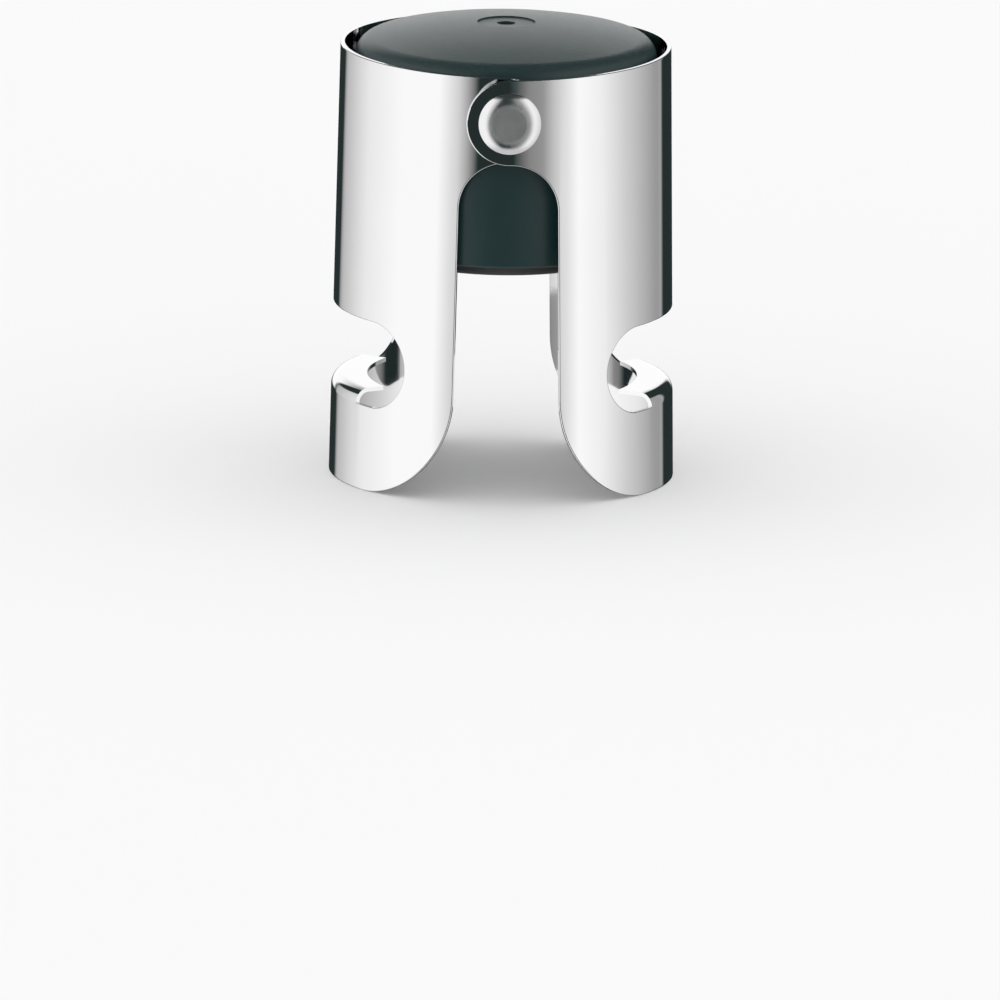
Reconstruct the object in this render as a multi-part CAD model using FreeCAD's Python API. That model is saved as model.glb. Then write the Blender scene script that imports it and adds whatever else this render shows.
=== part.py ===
"""Champagne stopper: two polished sheet wings hinged on a black moulded cup with a sprung seal.

Frame: origin on the floor under the middle of the stopper, +Z up, the front pin towards -Y.
All sizes are in millimetres and all angles in degrees.
"""
import FreeCAD, Part
import math
import os

Vector = FreeCAD.Vector
Flat = FreeCAD.Base.Vector2d

# Wings: one blank, stamped, rolled and used twice
WALL_RADIUS = 20.0
SHEET = 0.5
SHEET_EDGE_ROUND = 0.15
WING_HEIGHT = 52.7
EAR_RADIUS = 5.2
EAR_GAP = 1.0
REST_LEAN = 0.95
SLOT_HALF_WIDTH = 5.9
FOOT_CORNER_RADIUS = 13.2

# Window and claw in each wing, measured along the sheet
WINDOW_CENTRE_BELOW_RIM = 37.05
WINDOW_HEIGHT = 10.5
WINDOW_HALF_LENGTH = 18.9
CLAW_HALF_WIDTH = 10.7
CLAW_BEND_INSIDE = 1.2
CLAW_REACH = 3.2
CLAW_TRIM = 2.0

# Hinge pins
HEAD_RADIUS = 3.75
HEAD_HEIGHT = 0.95
HEAD_RIM = 0.2
HEAD_SHOULDER = 1.2
JOURNAL_RADIUS = 2.0
SHANK_RADIUS = 1.5
SPOT_FACE_RADIUS = 2.7
SPOT_FACE_DEPTH = 0.15
BOSS_COVER = 1.0
BOSS_TO_SPRING = 2.35
RUNNING_CLEARANCE = 0.06

# Washer between the two ears
WASHER_RADIUS = 2.9
WASHER_THICKNESS = 0.7

# Moulded cup
CUP_GAP = 1.3
CUP_WALL = 2.0
CUP_EDGE_RADIUS = 2.5
SKIRT_EDGE_RADIUS = 0.3
CROWN_RADIUS = 72.0
CROWN_ABOVE_RIM = 3.1
CUP_BELOW_PIVOT = 18.3
ROOF_THICKNESS = 2.2
GATE_RECESS_RADIUS = 3.5
GATE_RECESS_DEPTH = 0.25
GATE_PIP_RADIUS = 1.1
GATE_PIP_DEPTH = 0.6
BOSS_RADIUS = 3.6
POST_RADIUS = 4.6
POST_LENGTH = 12.0
RIB_THICKNESS = 1.2
RIB_DEPTH = 3.4
RIB_COUNT = 6
STOP_HALF_WIDTH = 3.0
STOP_HEIGHT = 3.0
STOP_GAP = 0.1

# Sprung seal
SEAL_INSET = 0.4
SEAL_THICKNESS = 2.1
SEAL_DISH_RADIUS = 7.5
SEAL_DISH_DEPTH = 0.6
SEAL_EDGE_RADIUS = 0.5
PEG_LENGTH = 6.0
NOSE_CLEARANCE = 0.2
NOSE_DEPTH = 1.7
FLOOR_THICKNESS = 1.3
LIP_HEIGHT = 2.4
LIP_THICKNESS = 1.2
PILLAR_RADIUS = 3.0
PILLAR_WALL = 1.0
PILLAR_HEIGHT = 13.5
RING_HEIGHT = 2.0
RING_WIDTH = 1.2
RING_BEAD = 0.35
RING_BEAD_HEIGHT = 0.8
WIRE_RADIUS = 1.0
COIL_RADIUS = 6.9
COIL_TURNS = 5.0

# How closely an edge is matched and a sheet is thickened
MATCH = 0.01
THICKENING_TOLERANCE = 1e-4

# Derived sizes
inner_radius = WALL_RADIUS - SHEET
cup_radius = inner_radius - CUP_GAP
neck_hold_radius = inner_radius - CLAW_REACH
wing_offset = (SHEET + EAR_GAP) / 2
lean = math.radians(REST_LEAN)
pivot_below_rim = EAR_RADIUS
pivot_drop = WING_HEIGHT - pivot_below_rim
foot_start = SLOT_HALF_WIDTH + FOOT_CORNER_RADIUS
foot_reach = inner_radius * math.sin(foot_start / WALL_RADIUS)
pivot_height = pivot_drop * math.cos(lean) - foot_reach * math.sin(lean)
half_turn = math.pi * WALL_RADIUS
window_radius = WINDOW_HEIGHT / 2
window_middle = WING_HEIGHT - WINDOW_CENTRE_BELOW_RIM
window_sill = window_middle - window_radius
claw_bend_outside = CLAW_BEND_INSIDE + SHEET
arch_height = WING_HEIGHT - 2 * EAR_RADIUS - SLOT_HALF_WIDTH
outer_ear_face = WALL_RADIUS + wing_offset
inner_ear_back = inner_radius - wing_offset
journal_end = cup_radius - SPOT_FACE_DEPTH
boss_start = COIL_RADIUS + WIRE_RADIUS + BOSS_TO_SPRING
shank_tip = boss_start + BOSS_COVER
crown_top = pivot_height + pivot_below_rim + CROWN_ABOVE_RIM
cup_bottom = pivot_height - CUP_BELOW_PIVOT
bore_radius = cup_radius - CUP_WALL
roof_underside = crown_top - ROOF_THICKNESS - CROWN_RADIUS + math.sqrt(CROWN_RADIUS ** 2 - bore_radius ** 2)
ring_top = cup_bottom + RING_HEIGHT
nose_radius = bore_radius - RING_WIDTH - NOSE_CLEARANCE
plunger_seat = ring_top + RUNNING_CLEARANCE
floor_top = plunger_seat + FLOOR_THICKNESS
seal_top = plunger_seat - NOSE_DEPTH
seal_bottom = seal_top - SEAL_THICKNESS
seal_radius = nose_radius - SEAL_INSET
shell_bite = CUP_WALL / 2


def revolved(points):
    """Turn a closed outline of (radius, height) points about the upright axis."""
    corners = [Vector(r, 0, z) for r, z in points]
    face = Part.Face(Part.makePolygon(corners + corners[:1]))
    return face.revolve(Vector(), Vector(0, 0, 1), 360)


def ring_edges(shape, radius, height):
    """The round level edges of a shape about the upright axis, of one radius and at one height."""
    found = []
    for edge in shape.Edges:
        if edge.Degenerated or not isinstance(edge.Curve, Part.Circle):
            continue
        centre = edge.Curve.Center
        off = max(abs(centre.x), abs(centre.y), abs(centre.z - height), abs(edge.Curve.Radius - radius))
        if off < MATCH:
            found.append(edge)
    return found


def upright(radius, low, high, x=0.0, y=0.0):
    """An upright cylinder between two heights."""
    return Part.makeCylinder(radius, high - low, Vector(x, y, low))


def crosswise(radius, start, end, side):
    """A cylinder on the hinge axis between two distances from the middle, at the front (-1) or rear (1)."""
    axis = Vector(0, side, 0)
    return Part.makeCylinder(radius, end - start, Vector(0, side * start, pivot_height), axis)


# Outlines drawn on the flat sheet, then wrapped round the rolled wall.
# A point is (distance along the sheet from the front, height above the foot).
rolled_wall = Part.Cylinder()
rolled_wall.Radius = WALL_RADIUS


def sheet_line(start, end):
    """A straight edge of the blank, wrapped."""
    a = Flat(start[0] / WALL_RADIUS, start[1])
    b = Flat(end[0] / WALL_RADIUS, end[1])
    return Part.Geom2d.Line2dSegment(a, b).toShape(rolled_wall)


def sheet_arc(centre, radius, first, last):
    """A round edge of the blank, wrapped. Angles run from straight along the sheet towards the rim."""
    middle = Flat(centre[0] / WALL_RADIUS, centre[1])
    top = Flat(centre[0] / WALL_RADIUS, centre[1] + radius)
    left = Flat((centre[0] - radius) / WALL_RADIUS, centre[1])
    ellipse = Part.Geom2d.Ellipse2d(top, left, middle)
    arc = Part.Geom2d.ArcOfEllipse2d(ellipse, math.radians(first - 90), math.radians(last - 90))
    return arc.toShape(rolled_wall)


def rolled_sheet(edges):
    """Close the wrapped edges into a patch of wall and thicken it inwards."""
    patch = Part.Face(rolled_wall, Part.Wire(Part.__sortEdges__(edges)))
    patch.validate()
    return patch.makeOffsetShape(-SHEET, THICKENING_TOLERANCE, fill=True)


def wing_blank():
    """The wall of one wing without its window: rim, slot edges, arch quarters and foot corners."""
    rim = WING_HEIGHT
    arch_top = rim - 2 * EAR_RADIUS
    slot_near = SLOT_HALF_WIDTH
    slot_far = half_turn - SLOT_HALF_WIDTH
    foot_near = foot_start
    foot_far = half_turn - foot_start
    corner = FOOT_CORNER_RADIUS
    edges = [
        sheet_line((0, arch_top), (0, rim)),
        sheet_line((0, rim), (half_turn, rim)),
        sheet_line((half_turn, rim), (half_turn, arch_top)),
        sheet_arc((half_turn, arch_height), SLOT_HALF_WIDTH, 90, 180),
        sheet_line((slot_far, arch_height), (slot_far, corner)),
        sheet_arc((foot_far, corner), corner, 270, 360),
        sheet_line((foot_far, 0), (foot_near, 0)),
        sheet_arc((foot_near, corner), corner, 180, 270),
        sheet_line((slot_near, corner), (slot_near, arch_height)),
        sheet_arc((0, arch_height), SLOT_HALF_WIDTH, 0, 90),
    ]
    return rolled_sheet(edges)


def window_blank():
    """The long round-ended hole at the side of a wing."""
    middle = half_turn / 2
    reach = WINDOW_HALF_LENGTH - window_radius
    centre = window_middle
    high = centre + window_radius
    low = window_sill
    edges = [
        sheet_line((middle - reach, high), (middle + reach, high)),
        sheet_arc((middle + reach, centre), window_radius, -90, 90),
        sheet_line((middle + reach, low), (middle - reach, low)),
        sheet_arc((middle - reach, centre), window_radius, 90, 270),
    ]
    return rolled_sheet(edges)


def claw():
    """The tab left under the window, bent inwards to hook under the ring of a bottle."""
    spread = math.degrees(CLAW_HALF_WIDTH / WALL_RADIUS)
    bend_radius = WALL_RADIUS - claw_bend_outside
    half = math.sqrt(0.5)
    inside_mid = (bend_radius + CLAW_BEND_INSIDE * half, window_sill + CLAW_BEND_INSIDE * half)
    outside_mid = (bend_radius + claw_bend_outside * half, window_sill + claw_bend_outside * half)
    tip = neck_hold_radius - CLAW_TRIM
    root = window_sill - 2 * SHEET_EDGE_ROUND

    def at(point):
        return Vector(point[0], 0, point[1])

    root_out = at((WALL_RADIUS, root))
    root_in = at((inner_radius, root))
    wall_out = at((WALL_RADIUS, window_sill))
    wall_in = at((inner_radius, window_sill))
    crest = at((bend_radius, window_sill + claw_bend_outside))
    under = at((bend_radius, window_sill + CLAW_BEND_INSIDE))
    tip_top = at((tip, window_sill + claw_bend_outside))
    tip_under = at((tip, window_sill + CLAW_BEND_INSIDE))
    edges = [
        Part.Arc(wall_out, at(outside_mid), crest).toShape(),
        Part.LineSegment(crest, tip_top).toShape(),
        Part.LineSegment(tip_top, tip_under).toShape(),
        Part.LineSegment(tip_under, under).toShape(),
        Part.Arc(under, at(inside_mid), wall_in).toShape(),
        Part.LineSegment(wall_in, root_in).toShape(),
        Part.LineSegment(root_in, root_out).toShape(),
        Part.LineSegment(root_out, wall_out).toShape(),
    ]
    section = Part.Face(Part.Wire(edges))
    section.rotate(Vector(), Vector(0, 0, 1), 90 - spread)
    return section.revolve(Vector(), Vector(0, 0, 1), 2 * spread)


def ear(side):
    """A flat round ear that runs on from the wall past the middle, at the front (-1) or rear (1)."""
    centre = Vector(0, side * inner_radius, WING_HEIGHT - pivot_below_rim)
    disc = Part.makeCylinder(EAR_RADIUS, SHEET, centre, Vector(0, side, 0))
    keep = Part.makeBox(EAR_RADIUS, 2 * WALL_RADIUS, 2 * EAR_RADIUS)
    keep.translate(Vector(-EAR_RADIUS, -WALL_RADIUS, WING_HEIGHT - 2 * EAR_RADIUS))
    return disc.common(keep)


def upright_wing():
    """One wing standing upright, its wall to +X, its outer ear at the front once it is offset."""
    wall = wing_blank().cut(window_blank())
    window_top = ring_edges(wall, WALL_RADIUS, window_middle + window_radius)
    wall = wall.makeFillet(SHEET_EDGE_ROUND, window_top)
    wall.rotate(Vector(), Vector(0, 0, 1), -90)
    hook = claw()
    hook.rotate(Vector(), Vector(0, 0, 1), -90)
    wing = wall.fuse([hook, ear(-1), ear(1)]).removeSplitter()
    wing = wing.makeFillet(SHEET_EDGE_ROUND, ring_edges(wing, WALL_RADIUS, WING_HEIGHT))
    hole_centre = Vector(0, -2 * WALL_RADIUS, WING_HEIGHT - pivot_below_rim)
    hole = Part.makeCylinder(JOURNAL_RADIUS + RUNNING_CLEARANCE, 4 * WALL_RADIUS, hole_centre, Vector(0, 1, 0))
    return wing.cut(hole)


def right_shell():
    """The wing to +X at rest: offset so that its front ear lies outside, leaning out at the foot."""
    wing = upright_wing()
    wing.translate(Vector(0, -wing_offset, pivot_height - pivot_drop))
    wing.rotate(Vector(0, 0, pivot_height), Vector(0, 1, 0), -REST_LEAN)
    neck = upright(neck_hold_radius, 0, cup_bottom)
    return wing.cut(neck)


def left_shell():
    """The same wing turned half round, so that its rear ear lies outside."""
    wing = right_shell()
    wing.rotate(Vector(), Vector(0, 0, 1), 180)
    return wing


def pivot_pin(side):
    """A stepped pin with a wide low head and a soft shoulder, pressed into the cup's boss."""
    head_seat = outer_ear_face + RUNNING_CLEARANCE
    head_top = head_seat + HEAD_HEIGHT
    flat_radius = HEAD_RADIUS - HEAD_SHOULDER

    def at(radius, along):
        return Vector(radius, 0, along)

    rim_top = at(HEAD_RADIUS, head_seat + HEAD_RIM)
    shoulder = Part.BezierCurve()
    shoulder.setPoles([rim_top, at(HEAD_RADIUS, head_top), at(flat_radius, head_top)])
    tip_chamfer = SHANK_RADIUS / 4
    corners = [
        at(0, shank_tip),
        at(SHANK_RADIUS - tip_chamfer, shank_tip),
        at(SHANK_RADIUS, shank_tip + tip_chamfer),
        at(SHANK_RADIUS, journal_end),
        at(JOURNAL_RADIUS, journal_end),
        at(JOURNAL_RADIUS, head_seat),
        at(HEAD_RADIUS, head_seat),
        rim_top,
    ]
    edges = [Part.LineSegment(a, b).toShape() for a, b in zip(corners, corners[1:])]
    edges.append(shoulder.toShape())
    edges.append(Part.LineSegment(at(flat_radius, head_top), at(0, head_top)).toShape())
    edges.append(Part.LineSegment(at(0, head_top), at(0, shank_tip)).toShape())
    pin = Part.Face(Part.Wire(edges)).revolve(Vector(), Vector(0, 0, 1), 360)
    pin.rotate(Vector(), Vector(1, 0, 0), -90 * side)
    pin.translate(Vector(0, 0, pivot_height))
    return pin


def ear_washer(side):
    """A thin washer that keeps the two ears apart."""
    start = inner_ear_back + SHEET + RUNNING_CLEARANCE
    disc = crosswise(WASHER_RADIUS, start, start + WASHER_THICKNESS, side)
    hole = crosswise(JOURNAL_RADIUS + RUNNING_CLEARANCE, start, start + WASHER_THICKNESS, side)
    return disc.cut(hole)


def cup_shell():
    """The domed cup: crowned roof, rounded edge and straight skirt, open below."""
    outside = upright(cup_radius, cup_bottom, crown_top)
    ball = Part.makeSphere(CROWN_RADIUS, Vector(0, 0, crown_top - CROWN_RADIUS))
    outside = outside.common(ball)
    shoulder = crown_top - CROWN_RADIUS + math.sqrt(CROWN_RADIUS ** 2 - cup_radius ** 2)
    outside = outside.makeFillet(CUP_EDGE_RADIUS, ring_edges(outside, cup_radius, shoulder))
    outside = outside.makeFillet(SKIRT_EDGE_RADIUS, ring_edges(outside, cup_radius, cup_bottom))
    return outside.cut(upright(bore_radius, cup_bottom, roof_underside))


def cup_inside():
    """The guide post, the bosses for the pins and the ribs under the roof."""
    post = upright(POST_RADIUS, roof_underside - POST_LENGTH, roof_underside)
    pieces = [post]
    for side in (-1, 1):
        pieces.append(crosswise(BOSS_RADIUS, boss_start, bore_radius + shell_bite, side))
    rib_reach = bore_radius + shell_bite
    for number in range(RIB_COUNT):
        rib = Part.makeBox(rib_reach, RIB_THICKNESS, RIB_DEPTH)
        rib.translate(Vector(0, -RIB_THICKNESS / 2, roof_underside - RIB_DEPTH))
        rib.rotate(Vector(), Vector(0, 0, 1), 360 * (number + 0.5) / RIB_COUNT)
        spring_room = upright(COIL_RADIUS + 2 * WIRE_RADIUS, 0, roof_underside)
        pieces.append(rib.cut(spring_room))
    return pieces


def closing_stops():
    """A pad at each side of the skirt for the wings to close on."""
    pads = []
    for side in (-1, 1):
        top = cup_bottom + STOP_HEIGHT
        pad = Part.makeBox(WALL_RADIUS, 2 * STOP_HALF_WIDTH, STOP_HEIGHT)
        pad.translate(Vector(bore_radius + shell_bite, -STOP_HALF_WIDTH, cup_bottom))
        drift = (pivot_height - top) * math.sin(lean)
        face = upright(inner_radius - STOP_GAP, cup_bottom, top, drift, -wing_offset)
        pad = pad.common(face)
        if side < 0:
            pad.rotate(Vector(), Vector(0, 0, 1), 180)
        pads.append(pad)
    return pads


def cap_body():
    """The black moulding: the cup with its bosses, post, ribs, stops, pin holes and gate mark."""
    body = cup_shell().fuse(cup_inside() + closing_stops())
    for side in (-1, 1):
        body = body.cut(crosswise(SHANK_RADIUS, shank_tip, cup_radius, side))
        body = body.cut(crosswise(SPOT_FACE_RADIUS, journal_end, cup_radius, side))
    guide_bore = upright(PILLAR_RADIUS + RUNNING_CLEARANCE, roof_underside - POST_LENGTH, roof_underside)
    bead_low = cup_bottom + (RING_HEIGHT - RING_BEAD_HEIGHT) / 2
    bead_groove = upright(bore_radius + RING_BEAD, bead_low, bead_low + RING_BEAD_HEIGHT)
    recess = upright(GATE_RECESS_RADIUS, crown_top - GATE_RECESS_DEPTH, crown_top)
    pip = upright(GATE_PIP_RADIUS, crown_top - GATE_PIP_DEPTH, crown_top)
    return body.cut([guide_bore, bead_groove, recess, pip]).removeSplitter()


def retaining_ring():
    """The ring that snaps into the foot of the skirt and keeps the plunger in."""
    inside = bore_radius - RING_WIDTH
    bead_low = cup_bottom + (RING_HEIGHT - RING_BEAD_HEIGHT) / 2
    ring = upright(bore_radius, cup_bottom, ring_top)
    bead = upright(bore_radius + RING_BEAD, bead_low, bead_low + RING_BEAD_HEIGHT)
    return ring.fuse(bead).cut(upright(inside, cup_bottom, ring_top)).removeSplitter()


def seal_plunger():
    """The sliding carrier: a lipped disc in the bore, a nose through the ring and a hollow pillar."""
    lip = bore_radius - RUNNING_CLEARANCE
    points = [
        (PILLAR_RADIUS - PILLAR_WALL, seal_top),
        (nose_radius, seal_top),
        (nose_radius, plunger_seat),
        (lip, plunger_seat),
        (lip, floor_top + LIP_HEIGHT),
        (lip - LIP_THICKNESS, floor_top + LIP_HEIGHT),
        (lip - LIP_THICKNESS, floor_top),
        (PILLAR_RADIUS, floor_top),
        (PILLAR_RADIUS, floor_top + PILLAR_HEIGHT),
        (PILLAR_RADIUS - PILLAR_WALL, floor_top + PILLAR_HEIGHT),
    ]
    return revolved(points)


def seal():
    """The rubber disc that closes the mouth of a bottle, with its peg in the pillar."""
    disc = upright(seal_radius, seal_bottom, seal_top)
    disc = disc.makeFillet(SEAL_EDGE_RADIUS, ring_edges(disc, seal_radius, seal_bottom))
    dish = upright(SEAL_DISH_RADIUS, seal_bottom, seal_bottom + SEAL_DISH_DEPTH)
    peg = upright(PILLAR_RADIUS - PILLAR_WALL, seal_top, seal_top + PEG_LENGTH)
    return disc.fuse(peg).cut(dish).removeSplitter()


def seal_spring():
    """The coil spring between the roof and the plunger."""
    low = floor_top + WIRE_RADIUS
    high = roof_underside - WIRE_RADIUS
    helix = Part.makeHelix((high - low) / COIL_TURNS, high - low, COIL_RADIUS)
    helix.translate(Vector(0, 0, low))
    start = Vector(COIL_RADIUS, 0, low)
    section = Part.Wire(Part.makeCircle(WIRE_RADIUS, start, Vector(0, 1, 0)))
    return Part.Wire(helix).makePipeShell([section], True, True)


def build_parts():
    """Make every sub-part in place, by the name of its file."""
    return {
        "cap_body": cap_body(),
        "left_shell": left_shell(),
        "right_shell": right_shell(),
        "front_pivot_pin": pivot_pin(-1),
        "rear_pivot_pin": pivot_pin(1),
        "front_ear_washer": ear_washer(-1),
        "rear_ear_washer": ear_washer(1),
        "retaining_ring": retaining_ring(),
        "seal_plunger": seal_plunger(),
        "seal_spring": seal_spring(),
        "seal": seal(),
    }


os.makedirs("parts", exist_ok=True)
for name, shape in build_parts().items():
    shape.exportStep("parts/" + name + ".step")
    box = shape.BoundBox
    print(name, len(shape.Solids), shape.isValid(), round(shape.Volume, 1),
          [round(v, 2) for v in (box.XMin, box.XMax, box.YMin, box.YMax, box.ZMin, box.ZMax)])
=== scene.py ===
"""Looks for a champagne stopper: polished sheet wings on a black moulded cup with a sprung seal.

All lengths are in metres and all angles in degrees unless a name says otherwise.
The front pin is towards -Y. Bearings round the stopper run from the front (0) to the right (90).
"""
import math

import bpy
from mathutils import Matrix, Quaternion, Vector

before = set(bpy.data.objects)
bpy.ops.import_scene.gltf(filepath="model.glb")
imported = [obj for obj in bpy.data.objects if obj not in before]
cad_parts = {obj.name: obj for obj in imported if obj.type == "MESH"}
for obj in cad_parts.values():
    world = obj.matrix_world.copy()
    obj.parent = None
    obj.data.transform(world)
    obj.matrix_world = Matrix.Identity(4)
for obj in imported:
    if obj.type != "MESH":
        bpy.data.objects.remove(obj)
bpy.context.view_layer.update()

MM = 0.001

# The cup's grain is full on its crown and fades towards the skirt between these heights.
GRAIN_FROM = 52.3 * MM
GRAIN_FULL = 53.6 * MM

# Sizes and depths of the patterns in each finish.
SHEET_CLOUD = 9 * MM
SHEET_HAZE = 0.6 * MM
PIN_CLOUD = 1.5 * MM
PIN_GRIT = 0.12 * MM
PIN_GRIT_DEPTH = 0.004 * MM
CUP_CLOUD = 5 * MM
SEAL_BLOOM = 2.5 * MM
SEAL_PORE = 0.2 * MM
SEAL_PORE_DEPTH = 0.006 * MM
TURNING = 0.3 * MM
TURNING_DEPTH = 0.003 * MM
DRAWING = 0.25 * MM
DRAWING_DEPTH = 0.002 * MM
FLOOR_MOTTLE = 200 * MM
FLOOR_CORNERS = 96

# The share of the grain left on the skirt, and the weight and blur of the coat on the crown.
SKIRT_GRAIN = 0.05
CROWN_COAT = 0.5
CROWN_COAT_BLUR = 0.36

# Roughness of the plainer finishes, before their patterns.
SEAL_ROUGHNESS = 0.62
WASHER_ROUGHNESS = 0.42
SPRING_ROUGHNESS = 0.28
FLOOR_ROUGHNESS = 0.9

# The pins: the height of their axis, the radius of their heads, where the heads start and end
# along the axis, and how wide and deep the round of a head is on the solid.
PIN_HEIGHT = 47.23 * MM
HEAD_RADIUS = 3.75 * MM
HEAD_FROM = 20.9 * MM
HEAD_TOP = 21.76 * MM
CAD_SHOULDER = 1.2 * MM
CAD_SHOULDER_DROP = 0.75 * MM
# How far out from the flat face of a head the satin ends and the full polish starts.
SATIN_END = 0.2 * MM
POLISH_START = 0.8 * MM

# The camera's sensor in millimetres and the nearest and farthest things it sees.
SENSOR_WIDTH = 36
CLIP_START = 0.1
CLIP_END = 20

bl_info = {
    "name": "Champagne stopper finishes",
    "version": (1, 0, 0),
    "blender": (4, 5, 0),
    "location": "3D View > Sidebar > Stopper",
    "description": "Finishes and a studio for a champagne stopper",
    "category": "Material",
}

WINGS = ("left_shell", "right_shell")
PINS = ("front_pivot_pin", "rear_pivot_pin")
WASHERS = ("front_ear_washer", "rear_ear_washer")
MOULDED_INSIDES = ("retaining_ring", "seal_plunger")

# The darkest level that polished surfaces see, its tint, and the level above which all is white.
DARK = 0.033
DARK_TINT = (0.62, 1.0, 0.97)
PALE_FROM = 0.2

# What polished surfaces see round them: (bearing, brightness), two large soft boxes with a
# black flag between them in front and dark room behind.
SURROUND = (
    (-180, DARK), (-152, DARK), (-147.5, 0.42), (-144, 0.58), (-136, 0.67), (-130, 0.75),
    (-110, 1.02), (-77, 1.20), (-48, 1.20), (-34, 0.80), (-28, 0.50), (-21.5, 0.13), (-20.5, DARK),
    (4, DARK), (9, 0.15), (16, 0.30), (25, 0.37), (33, 0.68), (51, 1.20), (67, 1.10), (91, 0.76),
    (111, 0.54), (125, 0.40), (131.5, 0.385), (135.5, 0.45), (139.5, DARK), (180, DARK),
)
# The top edge of the boxes falls towards the back, as it goes away. Above it the room is dark.
BOX_TOP = 45
BOX_TOP_BEHIND = 7
BOX_FALLS_FROM = 90
BOX_FALLS_TO = 155
BOX_EDGE = 6
# The white table seen steeply from above.
TABLE = 0.75
TABLE_FROM = -48
TABLE_FULL = -70
# The white sheet hung behind: how far it reaches to each side, where it starts and where it fades.
BACKDROP = 1.15
BACKDROP_LEFT = 24
BACKDROP_RIGHT = 12
BACKDROP_EDGE = 6
BACKDROP_LOW = -9
BACKDROP_HIGH = 15
BACKDROP_END = 42


def scaled(colour, factor):
    """A colour made darker or lighter."""
    return [factor * part for part in colour]


class Shade:
    """One output of a node. Sums and products of shades add Math nodes to its tree."""

    def __init__(self, tree, socket):
        self.tree = tree
        self.socket = socket

    @classmethod
    def make(cls, tree, kind, settings=None, sockets=None, output=0):
        """Add any node: its type, its settings, the values or links of its sockets and the output wanted."""
        node = tree.nodes.new(kind)
        for name, value in (settings or {}).items():
            if name == "stops":
                cls.set_stops(node.color_ramp, value)
            else:
                setattr(node, name, value)
        for name, value in (sockets or {}).items():
            if isinstance(value, Shade):
                tree.links.new(value.socket, node.inputs[name])
            else:
                node.inputs[name].default_value = value
        return cls(tree, node.outputs[output]) if len(node.outputs) else node

    @staticmethod
    def set_stops(ramp, stops):
        """Fill a ramp with (place, grey level) pairs."""
        while len(ramp.elements) < len(stops):
            ramp.elements.new(1.0)
        for element, (place, level) in zip(ramp.elements, stops):
            element.position = place
            element.color = (level, level, level, 1)

    def maths(self, operation, *others):
        """A Math node on this shade and up to two more values."""
        values = dict(enumerate((self,) + others))
        return Shade.make(self.tree, "ShaderNodeMath", {"operation": operation}, values)

    def between(self, low, high):
        """0 below low, 1 above high and a smooth step between."""
        settings = {"interpolation_type": "SMOOTHSTEP"}
        sockets = {"Value": self, "From Min": low, "From Max": high}
        return Shade.make(self.tree, "ShaderNodeMapRange", settings, sockets)

    def swing(self, amount):
        """This pattern as a small change to either side of nothing."""
        return amount * (self - 0.5)

    def part(self, axis):
        """X, Y or Z of a place or direction."""
        return Shade.make(self.tree, "ShaderNodeSeparateXYZ", None, {0: self}, axis)

    def tint(self, low, high):
        """A colour that runs from low to high as this shade goes from 0 to 1."""
        settings = {"data_type": "RGBA"}
        sockets = {0: self, 6: (*low, 1), 7: (*high, 1)}
        return Shade.make(self.tree, "ShaderNodeMix", settings, sockets, 2)

    def __add__(self, other):
        return self.maths("ADD", other)

    __radd__ = __add__

    def __mul__(self, other):
        return self.maths("MULTIPLY", other)

    __rmul__ = __mul__

    def __sub__(self, other):
        return self.maths("SUBTRACT", other)

    def __rsub__(self, other):
        return (self * -1) + other

    def __truediv__(self, other):
        return self.maths("DIVIDE", other)


class Finish:
    """A material on one Principled shader, with places on the object for its patterns."""

    def __init__(self, name):
        self.material = bpy.data.materials.new(name)
        self.material.use_nodes = True
        self.tree = self.material.node_tree
        self.tree.nodes.clear()
        self.shader = self.tree.nodes.new("ShaderNodeBsdfPrincipled")
        output = self.tree.nodes.new("ShaderNodeOutputMaterial")
        self.tree.links.new(self.shader.outputs[0], output.inputs["Surface"])
        self.place = Shade.make(self.tree, "ShaderNodeTexCoord", output="Object")

    def set(self, **sockets):
        """Set or link the shader's sockets, underscores standing for spaces."""
        for name, value in sockets.items():
            socket = self.shader.inputs[name.replace("_", " ")]
            if isinstance(value, Shade):
                self.tree.links.new(value.socket, socket)
            else:
                socket.default_value = value

    def noise(self, size, detail=2.0, place=None, roughness=0.5):
        """Noise from 0 to 1 whose lumps are about size across."""
        sockets = {"Vector": place or self.place, "Scale": 1 / size, "Detail": detail, "Roughness": roughness}
        return Shade.make(self.tree, "ShaderNodeTexNoise", None, sockets)

    def stretched(self, x, y, z):
        """The place with each axis scaled."""
        sockets = {0: self.place, 1: (x, y, z)}
        return Shade.make(self.tree, "ShaderNodeVectorMath", {"operation": "MULTIPLY"}, sockets)

    def bump(self, height, depth):
        """A normal from a height of 0 to 1 over a real depth."""
        sockets = {"Height": height, "Distance": depth, "Strength": 1.0}
        return Shade.make(self.tree, "ShaderNodeBump", None, sockets)

    def put_on(self, *nodes):
        """Give this finish to CAD nodes."""
        for node in nodes:
            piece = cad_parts[node]
            if not piece.material_slots:
                piece.data.materials.append(self.material)
            for slot in piece.material_slots:
                slot.material = self.material


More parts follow.
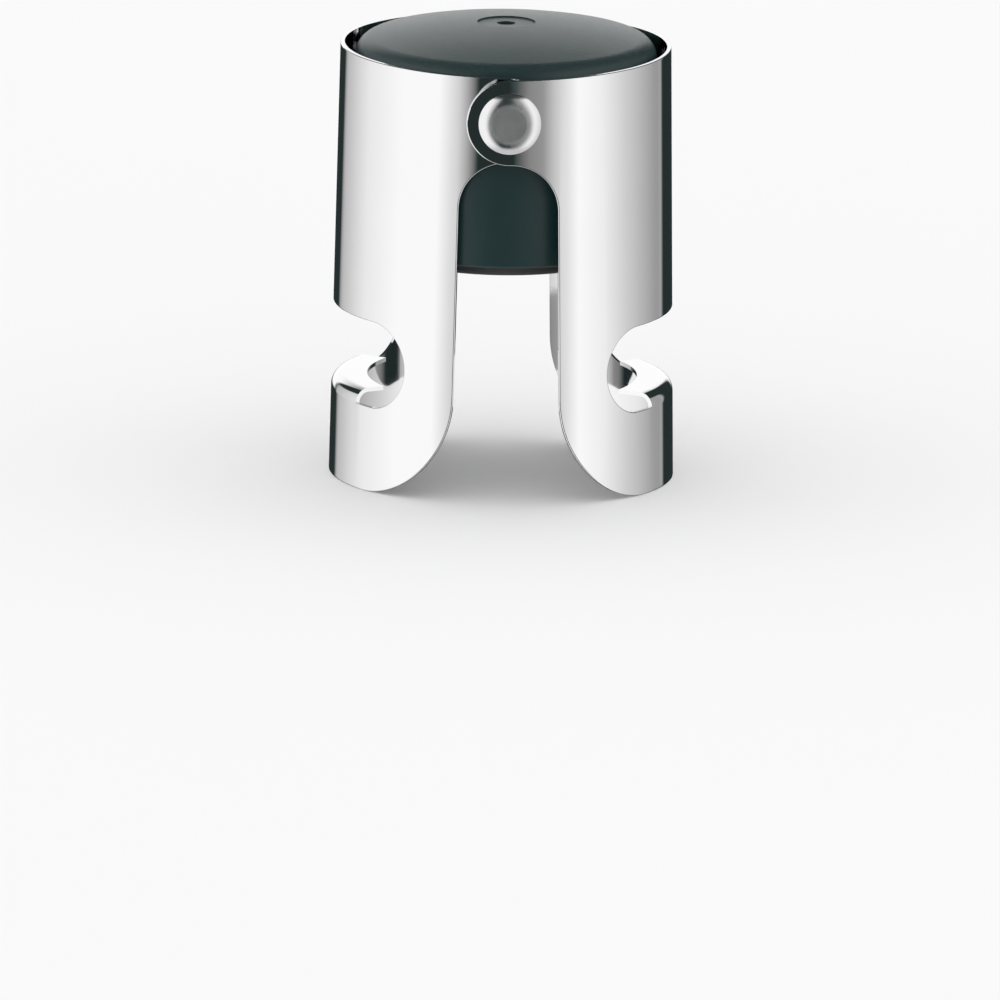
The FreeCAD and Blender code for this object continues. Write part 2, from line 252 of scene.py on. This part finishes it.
class StopperSteel(bpy.types.PropertyGroup):
    sheet_colour: bpy.props.FloatVectorProperty(
        name="Sheet colour", description="Colour of the polished sheet",
        subtype="COLOR", size=3, default=(0.80, 0.80, 0.80), min=0, max=1)
    sheet_gloss: bpy.props.FloatProperty(
        name="Sheet roughness", description="Blur of reflections in the polished sheet",
        default=0.045, min=0, max=1)
    wave_length: bpy.props.FloatProperty(
        name="Sheet wave", description="Length of the faint waves left by rolling and polishing",
        default=6 * MM, unit="LENGTH")
    wave_depth: bpy.props.FloatProperty(
        name="Sheet wave depth", description="Depth of those waves",
        default=0.0015 * MM, unit="LENGTH")
    pin_colour: bpy.props.FloatVectorProperty(
        name="Pin colour", description="Colour of the satin pins",
        subtype="COLOR", size=3, default=(0.80, 0.80, 0.80), min=0, max=1)
    pin_roughness: bpy.props.FloatProperty(
        name="Pin roughness", description="Blur of reflections in the satin faces of the pins",
        default=0.42, min=0, max=1)
    shoulder_roughness: bpy.props.FloatProperty(
        name="Shoulder roughness", description="Blur of reflections in the polished rounds of the pins",
        default=0.16, min=0, max=1)
    shoulder_width: bpy.props.FloatProperty(
        name="Shoulder width", description="How far the round of a pin's head runs in from its rim",
        default=1.75 * MM, unit="LENGTH")
    spring_colour: bpy.props.FloatVectorProperty(
        name="Spring colour", description="Colour of the drawn spring wire",
        subtype="COLOR", size=3, default=(0.46, 0.46, 0.47), min=0, max=1)


class StopperMouldings(bpy.types.PropertyGroup):
    cup_colour: bpy.props.FloatVectorProperty(
        name="Cup colour", description="Colour of the black moulding",
        subtype="COLOR", size=3, default=(0.010, 0.036, 0.037), min=0, max=1)
    cup_roughness: bpy.props.FloatProperty(
        name="Cup roughness", description="Blur of reflections in the black moulding",
        default=0.36, min=0, max=1)
    grain_size: bpy.props.FloatProperty(
        name="Grain size", description="Size of the fine grain on the crown",
        default=0.30 * MM, unit="LENGTH")
    grain_depth: bpy.props.FloatProperty(
        name="Grain depth", description="Depth of that grain",
        default=0.20 * MM, unit="LENGTH")
    seal_colour: bpy.props.FloatVectorProperty(
        name="Seal colour", description="Colour of the rubber seal",
        subtype="COLOR", size=3, default=(0.045, 0.045, 0.047), min=0, max=1)
    washer_colour: bpy.props.FloatVectorProperty(
        name="Washer colour", description="Colour of the ear washers",
        subtype="COLOR", size=3, default=(0.05, 0.055, 0.055), min=0, max=1)


class StopperStage(bpy.types.PropertyGroup):
    bearing: bpy.props.FloatProperty(
        name="Camera bearing", description="Degrees round from the front, to the right",
        default=-1.6)
    elevation: bpy.props.FloatProperty(
        name="Camera elevation", description="Degrees above the horizon",
        default=12.65)
    roll: bpy.props.FloatProperty(
        name="Camera roll", description="Degrees that the camera is turned about its own line",
        default=0.7)
    distance: bpy.props.FloatProperty(
        name="Camera distance", description="From the camera to the point it looks at",
        default=3.2, unit="LENGTH")
    width: bpy.props.FloatProperty(
        name="Picture width", description="Width of the picture at that point",
        default=120.9 * MM, unit="LENGTH")
    aim: bpy.props.FloatVectorProperty(
        name="Aim", description="The point the camera looks at",
        subtype="XYZ", size=3, default=(-0.05 * MM, 0, -3.6 * MM))
    floor_radius: bpy.props.FloatProperty(
        name="Floor radius", description="Radius of the pale floor",
        default=4.0, unit="LENGTH")
    floor_colour: bpy.props.FloatVectorProperty(
        name="Floor colour", description="Colour of the floor",
        subtype="COLOR", size=3, default=(0.96, 0.96, 0.96), min=0, max=1)
    light_level: bpy.props.FloatProperty(
        name="Light level", description="Brightness of the room on plain surfaces",
        default=1.0, min=0)


class StopperPolishWings(bpy.types.Operator):
    """Polish the two sheet wings"""
    bl_idname = "stopper.polish_wings"
    bl_label = "Polish the wings"

    def execute(self, context):
        steel = context.scene.stopper_steel
        finish = Finish("polished_sheet")
        cloud = finish.noise(SHEET_CLOUD)
        haze = finish.noise(SHEET_HAZE, 4, finish.stretched(1, 1, 6))
        waves = finish.noise(steel.wave_length, 1)
        dark = scaled(steel.sheet_colour, 0.97)
        finish.set(
            Base_Color=cloud.tint(dark, steel.sheet_colour),
            Metallic=1.0,
            Roughness=steel.sheet_gloss + haze.swing(0.02) + cloud.swing(0.02),
            Normal=finish.bump(waves, steel.wave_depth),
        )
        finish.put_on(*WINGS)
        return {"FINISHED"}


class StopperFinishPins(bpy.types.Operator):
    """Give the pins satin faces and polished rounds"""
    bl_idname = "stopper.finish_pins"
    bl_label = "Finish the pins"

    def execute(self, context):
        steel = context.scene.stopper_steel
        finish = Finish("satin_pin")
        grit = finish.noise(PIN_GRIT, 3)
        cloud = finish.noise(PIN_CLOUD, 3)
        dark = scaled(steel.pin_colour, 0.85)
        face = HEAD_RADIUS - steel.shoulder_width
        shine = self.from_axis(finish.place).between(face + SATIN_END, face + POLISH_START)
        blur = steel.pin_roughness + (steel.shoulder_roughness - steel.pin_roughness) * shine
        finish.set(
            Base_Color=cloud.tint(dark, steel.pin_colour),
            Metallic=1.0,
            Roughness=blur + cloud.swing(0.08) + grit.swing(0.06),
            Normal=finish.bump(grit, PIN_GRIT_DEPTH),
        )
        finish.put_on(*PINS)
        rounding = self.wide_shoulder(steel.shoulder_width)
        for node in PINS:
            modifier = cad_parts[node].modifiers.new("wide_shoulder", "NODES")
            modifier.node_group = rounding
        return {"FINISHED"}

    def from_axis(self, place):
        """How far a place is from the axis of the pins."""
        x, up = place.part("X"), place.part("Z") - PIN_HEIGHT
        return (x * x + up * up).maths("SQRT")

    def wide_shoulder(self, width):
        """Node group that draws the round of a head in towards its middle and evens its curve."""
        tree = bpy.data.node_groups.new("wide_shoulder", "GeometryNodeTree")
        for way in ("INPUT", "OUTPUT"):
            tree.interface.new_socket("Geometry", in_out=way, socket_type="NodeSocketGeometry")
        pin = Shade.make(tree, "NodeGroupInput")
        place = Shade.make(tree, "GeometryNodeInputPosition")
        radius = self.from_axis(place)
        drawn = HEAD_RADIUS - (HEAD_RADIUS - radius) * (width / CAD_SHOULDER)
        outward = place.part("Y").maths("ABSOLUTE")
        on_head = outward.maths("GREATER_THAN", HEAD_FROM)
        factor = 1 + on_head * (drawn / radius - 1)
        along = 1 - (HEAD_RADIUS - drawn) / width
        curved = HEAD_TOP - CAD_SHOULDER_DROP * along * along
        outward = outward + on_head * (curved - outward)
        sockets = {
            "X": place.part("X") * factor,
            "Y": outward * place.part("Y").maths("SIGN"),
            "Z": PIN_HEIGHT + (place.part("Z") - PIN_HEIGHT) * factor,
        }
        moved = Shade.make(tree, "ShaderNodeCombineXYZ", None, sockets)
        rounded = Shade.make(tree, "GeometryNodeSetPosition", None, {"Geometry": pin, "Position": moved})
        Shade.make(tree, "NodeGroupOutput", None, {0: rounded})
        return tree


class StopperFinishCup(bpy.types.Operator):
    """Give the cup its fine moulded grain"""
    bl_idname = "stopper.finish_cup"
    bl_label = "Finish the cup"

    def execute(self, context):
        moulding = context.scene.stopper_mouldings
        finish = Finish("black_moulding")
        grain = finish.noise(moulding.grain_size, 4, None, 0.7)
        crown = finish.place.part("Z").between(GRAIN_FROM, GRAIN_FULL)
        cloud = finish.noise(CUP_CLOUD, 3)
        dark = scaled(moulding.cup_colour, 0.85)
        finish.set(
            Base_Color=cloud.tint(dark, moulding.cup_colour),
            Roughness=moulding.cup_roughness + cloud.swing(0.06) + grain.swing(0.10),
            Coat_Weight=CROWN_COAT * crown,
            Coat_Roughness=CROWN_COAT_BLUR,
            Normal=finish.bump(grain * (SKIRT_GRAIN + (1 - SKIRT_GRAIN) * crown), moulding.grain_depth),
        )
        finish.put_on("cap_body", *MOULDED_INSIDES)
        return {"FINISHED"}


class StopperFinishSeal(bpy.types.Operator):
    """Finish the rubber seal, the washers and the spring"""
    bl_idname = "stopper.finish_seal"
    bl_label = "Finish the seal, washers and spring"

    def execute(self, context):
        moulding = context.scene.stopper_mouldings
        steel = context.scene.stopper_steel

        rubber = Finish("seal_rubber_skin")
        bloom = rubber.noise(SEAL_BLOOM, 4)
        pores = rubber.noise(SEAL_PORE, 2)
        pale = scaled(moulding.seal_colour, 1.5)
        rubber.set(
            Base_Color=bloom.tint(moulding.seal_colour, pale),
            Roughness=SEAL_ROUGHNESS + bloom.swing(0.16),
            Normal=rubber.bump(pores, SEAL_PORE_DEPTH),
        )
        rubber.put_on("seal")

        washer = Finish("washer_skin")
        turning = washer.noise(TURNING, 3, washer.stretched(1, 8, 1))
        pale = scaled(moulding.washer_colour, 1.3)
        washer.set(
            Base_Color=turning.tint(moulding.washer_colour, pale),
            Roughness=WASHER_ROUGHNESS + turning.swing(0.12),
            Normal=washer.bump(turning, TURNING_DEPTH),
        )
        washer.put_on(*WASHERS)

        wire = Finish("drawn_wire")
        drawing = wire.noise(DRAWING, 4, wire.stretched(1, 1, 5))
        dark = scaled(steel.spring_colour, 0.75)
        wire.set(
            Base_Color=drawing.tint(dark, steel.spring_colour),
            Metallic=1.0,
            Roughness=SPRING_ROUGHNESS + drawing.swing(0.14),
            Normal=wire.bump(drawing, DRAWING_DEPTH),
        )
        wire.put_on("seal_spring")
        return {"FINISHED"}


class StopperSetStage(bpy.types.Operator):
    """Make the floor, the room light and the camera"""
    bl_idname = "stopper.set_stage"
    bl_label = "Set the stage"

    def execute(self, context):
        stage = context.scene.stopper_stage
        self.make_floor(context, stage)
        self.light_room(context, stage)
        self.aim_camera(context, stage)
        context.scene.view_settings.view_transform = "Standard"
        return {"FINISHED"}

    def make_floor(self, context, stage):
        """A round pale floor that mirrors look through, so that they show the room instead."""
        mesh = bpy.data.meshes.new("floor")
        turn = 2 * math.pi / FLOOR_CORNERS
        ring = [(stage.floor_radius * math.cos(n * turn), stage.floor_radius * math.sin(n * turn), 0)
                for n in range(FLOOR_CORNERS)]
        mesh.from_pydata(ring, [], [tuple(range(FLOOR_CORNERS))])
        floor = bpy.data.objects.new("floor", mesh)
        context.scene.collection.objects.link(floor)
        finish = Finish("pale_floor")
        mottle = finish.noise(FLOOR_MOTTLE, 3)
        dark = scaled(stage.floor_colour, 0.99)
        finish.set(
            Base_Color=mottle.tint(dark, stage.floor_colour),
            Roughness=FLOOR_ROUGHNESS,
            Specular_IOR_Level=0.0,
        )
        mesh.materials.append(finish.material)
        floor.visible_glossy = False

    def light_room(self, context, stage):
        """Plain white light, with soft boxes and dark flags that only polished surfaces see."""
        world = bpy.data.worlds.new("room")
        context.scene.world = world
        world.use_nodes = True
        tree = world.node_tree
        tree.nodes.clear()
        direction = Shade.make(tree, "ShaderNodeTexCoord", output="Generated")
        bearing = direction.part("X").maths("ARCTAN2", direction.part("Y") * -1).maths("DEGREES")
        stops = [(angle / 360 + 0.5, level) for angle, level in SURROUND]
        boxes = Shade.make(tree, "ShaderNodeValToRGB", {"stops": stops}, {"Fac": bearing / 360 + 0.5})
        climb = direction.part("Z").maths("ARCSINE").maths("DEGREES")
        from_back = 180 - bearing.maths("ABSOLUTE")
        half_width = BACKDROP_LEFT + (BACKDROP_RIGHT - BACKDROP_LEFT) * bearing.maths("GREATER_THAN", 0)
        behind = 1 - (from_back - half_width).between(0, BACKDROP_EDGE)
        behind = behind * climb.between(BACKDROP_LOW, BACKDROP_LOW + BACKDROP_EDGE)
        behind = behind * (1 - climb.between(BACKDROP_HIGH, BACKDROP_END))
        fall = bearing.maths("ABSOLUTE").between(BOX_FALLS_FROM, BOX_FALLS_TO)
        above = (climb - BOX_TOP + (BOX_TOP - BOX_TOP_BEHIND) * fall).between(0, BOX_EDGE)
        table = (climb * -1).between(-TABLE_FROM, -TABLE_FULL)
        seen = boxes * (1 - above) + DARK * above
        seen = seen * (1 - behind) + BACKDROP * behind
        seen = seen * (1 - table) + TABLE * table
        camera, glossy, through = (
            Shade.make(tree, "ShaderNodeLightPath", output=name)
            for name in ("Is Camera Ray", "Is Glossy Ray", "Is Transmission Ray"))
        room = 1 - glossy * (1 - seen)
        shown = (camera + glossy + through).maths("MINIMUM", 1)
        level = shown * room + (1 - shown) * stage.light_level
        colour = (room / PALE_FROM).maths("MINIMUM", 1).tint(DARK_TINT, (1, 1, 1))
        light = Shade.make(tree, "ShaderNodeBackground", None, {"Color": colour, "Strength": level})
        Shade.make(tree, "ShaderNodeOutputWorld", None, {"Surface": light})

    def aim_camera(self, context, stage):
        """A long lens from a little above, as far back as a studio allows."""
        data = bpy.data.cameras.new("camera")
        data.sensor_width = SENSOR_WIDTH
        data.lens = data.sensor_width * stage.distance / stage.width
        camera = bpy.data.objects.new("camera", data)
        context.scene.collection.objects.link(camera)
        context.scene.camera = camera
        turn = math.radians(stage.bearing)
        climb = math.radians(stage.elevation)
        back = Vector((math.sin(turn) * math.cos(climb), -math.cos(turn) * math.cos(climb), math.sin(climb)))
        camera.location = Vector(stage.aim) + back * stage.distance
        camera.rotation_mode = "QUATERNION"
        roll = Quaternion((0, 0, 1), math.radians(stage.roll))
        camera.rotation_quaternion = back.to_track_quat("Z", "Y") @ roll
        data.clip_start = CLIP_START
        data.clip_end = CLIP_END


class StopperPanel(bpy.types.Panel):
    bl_idname = "VIEW3D_PT_stopper"
    bl_label = "Champagne stopper"
    bl_space_type = "VIEW_3D"
    bl_region_type = "UI"
    bl_category = "Stopper"

    def draw(self, context):
        for operator in OPERATORS:
            self.layout.operator(operator.bl_idname)
        for name in GROUPS:
            group = getattr(context.scene, name)
            box = self.layout.box()
            for setting in group.__annotations__:
                box.prop(group, setting)


OPERATORS = (StopperPolishWings, StopperFinishPins, StopperFinishCup, StopperFinishSeal, StopperSetStage)
GROUPS = {"stopper_steel": StopperSteel, "stopper_mouldings": StopperMouldings, "stopper_stage": StopperStage}


def register():
    """Register the classes and hang the property groups on the scene."""
    for cls in (*GROUPS.values(), *OPERATORS, StopperPanel):
        bpy.utils.register_class(cls)
    for name, cls in GROUPS.items():
        setattr(bpy.types.Scene, name, bpy.props.PointerProperty(type=cls))


def unregister():
    """Undo register()."""
    for name in GROUPS:
        delattr(bpy.types.Scene, name)
    for cls in (StopperPanel, *reversed(OPERATORS), *reversed(GROUPS.values())):
        bpy.utils.unregister_class(cls)


def main():
    """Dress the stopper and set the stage."""
    register()
    bpy.ops.stopper.polish_wings()
    bpy.ops.stopper.finish_pins()
    bpy.ops.stopper.finish_cup()
    bpy.ops.stopper.finish_seal()
    bpy.ops.stopper.set_stage()


if __name__ == "__main__":
    main()
